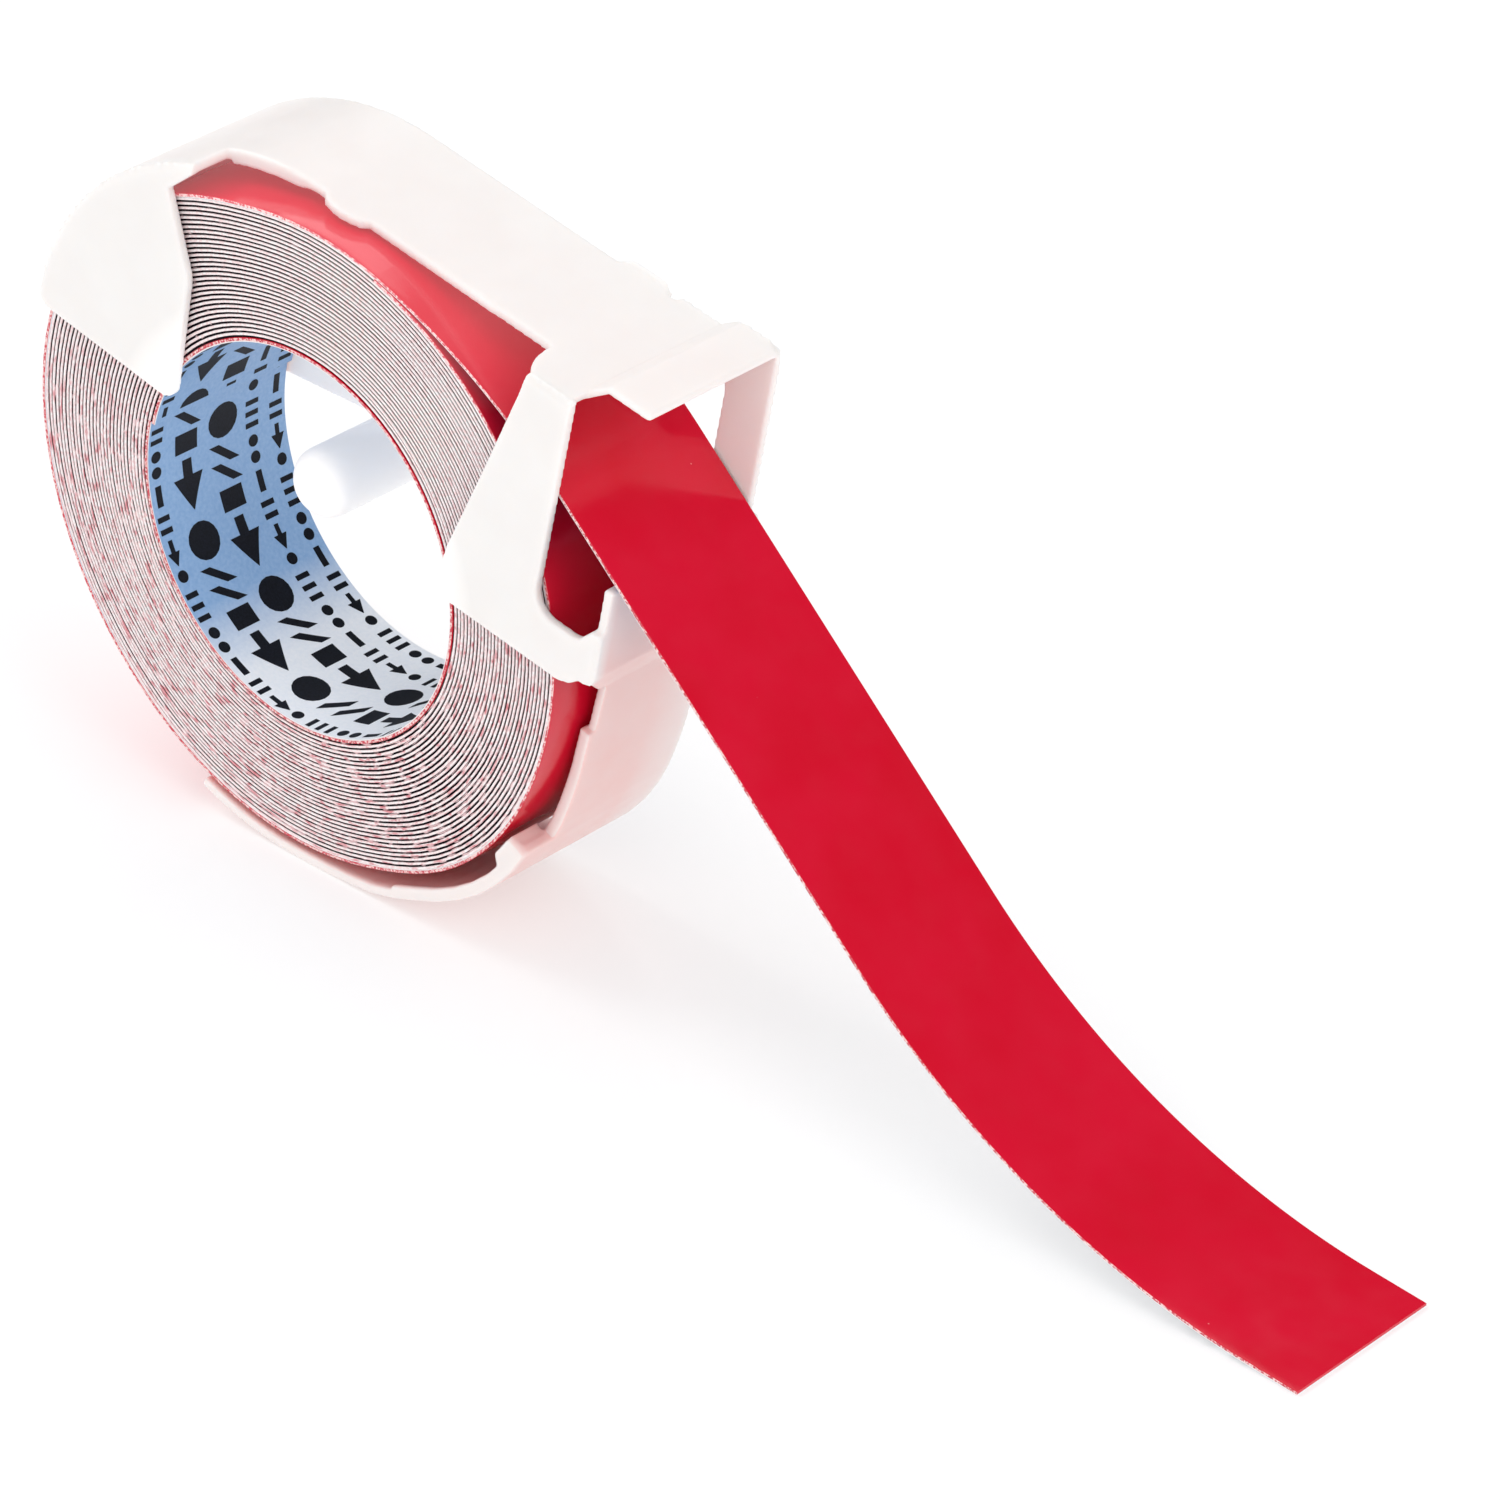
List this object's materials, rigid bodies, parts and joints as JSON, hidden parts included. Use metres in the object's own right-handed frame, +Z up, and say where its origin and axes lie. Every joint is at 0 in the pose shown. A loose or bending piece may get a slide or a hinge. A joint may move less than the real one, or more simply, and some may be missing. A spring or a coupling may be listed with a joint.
{
  "type": "embossing tape cassette",
  "caption": "Refill cassette of self-adhesive embossing tape: a wound roll in an open moulded holder, with its free end drawn out of the mouth and lying on the surface.",
  "frame": {"origin": "on the axis of the hub peg, at the middle of the tape's width", "axes": "+X the way the tape leaves, +Y along the peg towards its root on the far side, +Z up"},
  "size_m": [0.1038, 0.0143, 0.0469],
  "materials": {
    "holder_plastic": "translucent natural moulding, satin",
    "red_vinyl": "smooth glossy vinyl film",
    "liner_paper": null,
    "roll_side": "edges of wound vinyl and paper"
  },
  "bodies": {
    "holder": {"upper_band": "holder_plastic", "roof_plate": "holder_plastic", "mouth_cap": "holder_plastic", "near_ear": "holder_plastic", "near_cheek": "holder_plastic", "far_cheek": "holder_plastic", "front_wall": "holder_plastic", "lower_band_front": "holder_plastic", "lower_band_bottom": "holder_plastic", "hub_arm": "holder_plastic", "hub_peg": "holder_plastic", "lead_vinyl": "red_vinyl", "lead_liner": "liner_paper"},
    "roll": {"wound_turns": "roll_side", "inner_turn": "liner_paper", "outer_turn": "red_vinyl"},
    "tail_1": {"tail_vinyl_1": "red_vinyl", "tail_liner_1": "liner_paper"},
    "tail_2": {"tail_vinyl_2": "red_vinyl", "tail_liner_2": "liner_paper"},
    "tail_3": {"tail_vinyl_3": "red_vinyl", "tail_liner_3": "liner_paper"},
    "tail_4": {"tail_vinyl_4": "red_vinyl", "tail_liner_4": "liner_paper"},
    "tail_5": {"tail_vinyl_5": "red_vinyl", "tail_liner_5": "liner_paper"}
  },
  "joints": [
    {"name": "tape_feed", "type": "slide", "parent": "holder", "child": "tail_1", "axis": [1, 0, 0], "range_m": [0, 0.01], "deforming": ["lead_vinyl", "lead_liner"]},
    {"name": "roll_spin", "type": "hinge", "parent": "holder", "child": "roll", "pos_m": [0, 0, -0.0032], "axis": [0, 1, 0], "range_deg": [0, 19.5]},
    {"name": "tail_flex_1", "type": "hinge", "parent": "tail_1", "child": "tail_2", "pos_m": [0.03965, 0, -0.00674], "axis": [0, -1, 0], "range_deg": [0, 12], "stiffness_Nm_per_rad": 0.004},
    {"name": "tail_flex_2", "type": "hinge", "parent": "tail_2", "child": "tail_3", "pos_m": [0.04836, 0, -0.01452], "axis": [0, -1, 0], "range_deg": [0, 12], "stiffness_Nm_per_rad": 0.004},
    {"name": "tail_flex_3", "type": "hinge", "parent": "tail_3", "child": "tail_4", "pos_m": [0.05817, 0, -0.02086], "axis": [0, -1, 0], "range_deg": [0, 12], "stiffness_Nm_per_rad": 0.004},
    {"name": "tail_flex_4", "type": "hinge", "parent": "tail_4", "child": "tail_5", "pos_m": [0.06918, 0, -0.02476], "axis": [0, -1, 0], "range_deg": [0, 12], "stiffness_Nm_per_rad": 0.004}
  ],
  "couplings": [
    {"joint": "roll_spin", "follows": "tape_feed", "rad_per_m": 33.691}
  ]
}
